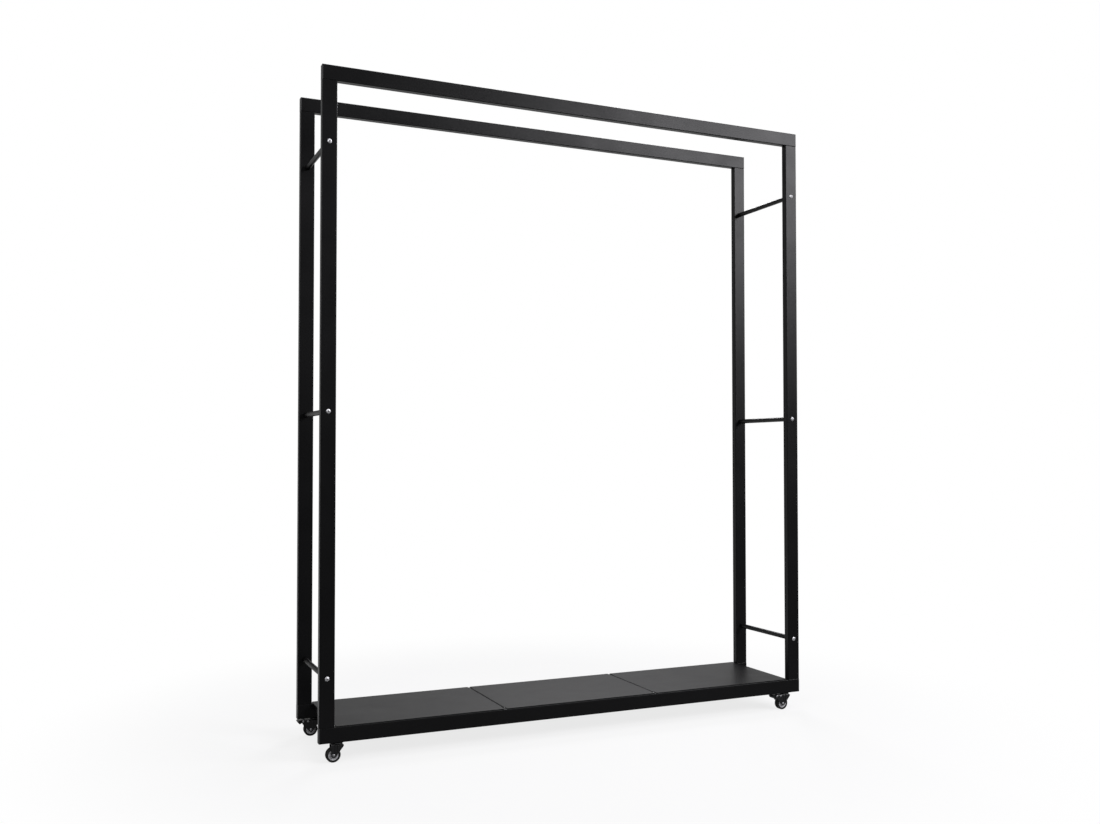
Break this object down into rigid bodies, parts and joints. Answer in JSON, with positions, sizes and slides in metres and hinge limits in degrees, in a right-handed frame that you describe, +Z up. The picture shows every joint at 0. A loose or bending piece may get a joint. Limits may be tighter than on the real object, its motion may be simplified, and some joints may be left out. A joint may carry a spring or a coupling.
{
  "type": "firewood rack",
  "caption": "Tall open firewood rack of black rectangular tube: front and rear frames joined by round side bars, a sheet floor for the logs, and swivel casters with foot brakes.",
  "frame": {"origin": "on the ground the casters stand on, under the middle of the rack", "axes": "+X to the right along the frames, +Y from the front frame to the rear frame, +Z up"},
  "size_m": [1.5, 0.308, 1.803],
  "materials": {
    "black_powder_coat": "satin black powder coat with a fine orange peel",
    "black_fork_enamel": "semi-gloss black enamel on pressed steel",
    "zinc_plated_steel": "bright zinc plating",
    "blackened_steel": "blackened steel",
    "black_plastic": "moulded black plastic",
    "grey_nylon": "moulded mid-grey nylon",
    "black_tyre_rubber": "matt black rubber"
  },
  "bodies": {
    "frame": {"front_left_upright": "black_powder_coat", "front_right_upright": "black_powder_coat", "rear_left_upright": "black_powder_coat", "rear_right_upright": "black_powder_coat", "front_top_rail": "black_powder_coat", "front_bottom_rail": "black_powder_coat", "rear_top_rail": "black_powder_coat", "rear_bottom_rail": "black_powder_coat", "left_low_bar": "black_powder_coat", "left_middle_bar": "black_powder_coat", "left_high_bar": "black_powder_coat", "right_low_bar": "black_powder_coat", "right_middle_bar": "black_powder_coat", "right_high_bar": "black_powder_coat", "floor_panel_1": "black_powder_coat", "floor_panel_2": "black_powder_coat", "floor_panel_3": "black_powder_coat", "front_bar_bolts": "zinc_plated_steel", "rear_bar_bolts": "zinc_plated_steel", "top_corner_bolts": "zinc_plated_steel", "bottom_corner_bolts": "zinc_plated_steel", "bar_end_inserts": "zinc_plated_steel", "caster_nut_plates": "zinc_plated_steel", "floor_screws": "blackened_steel", "rail_end_caps": "black_plastic", "upright_end_plugs": "black_plastic", "front_left_caster_stem": "blackened_steel", "front_left_swivel_washer": "black_plastic", "front_right_caster_stem": "blackened_steel", "front_right_swivel_washer": "black_plastic", "rear_left_caster_stem": "blackened_steel", "rear_left_swivel_washer": "black_plastic", "rear_right_caster_stem": "blackened_steel", "rear_right_swivel_washer": "black_plastic"},
    "front_left_fork": {"front_left_caster_fork": "black_fork_enamel", "front_left_wheel_axle": "zinc_plated_steel"},
    "front_left_wheel": {"front_left_wheel_core": "grey_nylon", "front_left_wheel_tyre": "black_tyre_rubber"},
    "front_right_fork": {"front_right_caster_fork": "black_fork_enamel", "front_right_wheel_axle": "zinc_plated_steel", "front_right_brake_pin": "zinc_plated_steel", "front_right_leg_rivet": "zinc_plated_steel"},
    "front_right_wheel": {"front_right_wheel_core": "grey_nylon", "front_right_wheel_tyre": "black_tyre_rubber"},
    "front_right_pedal": {"front_right_brake_pedal": "black_fork_enamel"},
    "rear_left_fork": {"rear_left_caster_fork": "black_fork_enamel", "rear_left_wheel_axle": "zinc_plated_steel", "rear_left_brake_pin": "zinc_plated_steel", "rear_left_leg_rivet": "zinc_plated_steel"},
    "rear_left_wheel": {"rear_left_wheel_core": "grey_nylon", "rear_left_wheel_tyre": "black_tyre_rubber"},
    "rear_left_pedal": {"rear_left_brake_pedal": "black_fork_enamel"},
    "rear_right_fork": {"rear_right_caster_fork": "black_fork_enamel", "rear_right_wheel_axle": "zinc_plated_steel"},
    "rear_right_wheel": {"rear_right_wheel_core": "grey_nylon", "rear_right_wheel_tyre": "black_tyre_rubber"}
  },
  "joints": [
    {"name": "front_left_swivel", "type": "hinge", "parent": "frame", "child": "front_left_fork", "pos_m": [-0.7, -0.14, 0.047], "axis": [0, 0, 1], "continuous": true},
    {"name": "front_left_wheel_spin", "type": "hinge", "parent": "front_left_fork", "child": "front_left_wheel", "pos_m": [-0.712, -0.14, 0.019], "axis": [0, 1, 0], "continuous": true},
    {"name": "front_right_swivel", "type": "hinge", "parent": "frame", "child": "front_right_fork", "pos_m": [0.7, -0.14, 0.047], "axis": [0, 0, 1], "continuous": true},
    {"name": "front_right_wheel_spin", "type": "hinge", "parent": "front_right_fork", "child": "front_right_wheel", "pos_m": [0.688, -0.14, 0.019], "axis": [0, 1, 0], "continuous": true},
    {"name": "front_right_brake", "type": "hinge", "parent": "front_right_fork", "child": "front_right_pedal", "pos_m": [0.666, -0.14, 0.0425], "axis": [0, 1, 0], "range_deg": [0, 12]},
    {"name": "rear_left_swivel", "type": "hinge", "parent": "frame", "child": "rear_left_fork", "pos_m": [-0.7, 0.14, 0.047], "axis": [0, 0, 1], "continuous": true},
    {"name": "rear_left_wheel_spin", "type": "hinge", "parent": "rear_left_fork", "child": "rear_left_wheel", "pos_m": [-0.712, 0.14, 0.019], "axis": [0, 1, 0], "continuous": true},
    {"name": "rear_left_brake", "type": "hinge", "parent": "rear_left_fork", "child": "rear_left_pedal", "pos_m": [-0.734, 0.14, 0.0425], "axis": [0, 1, 0], "range_deg": [0, 12]},
    {"name": "rear_right_swivel", "type": "hinge", "parent": "frame", "child": "rear_right_fork", "pos_m": [0.7, 0.14, 0.047], "axis": [0, 0, 1], "continuous": true},
    {"name": "rear_right_wheel_spin", "type": "hinge", "parent": "rear_right_fork", "child": "rear_right_wheel", "pos_m": [0.688, 0.14, 0.019], "axis": [0, 1, 0], "continuous": true}
  ]
}
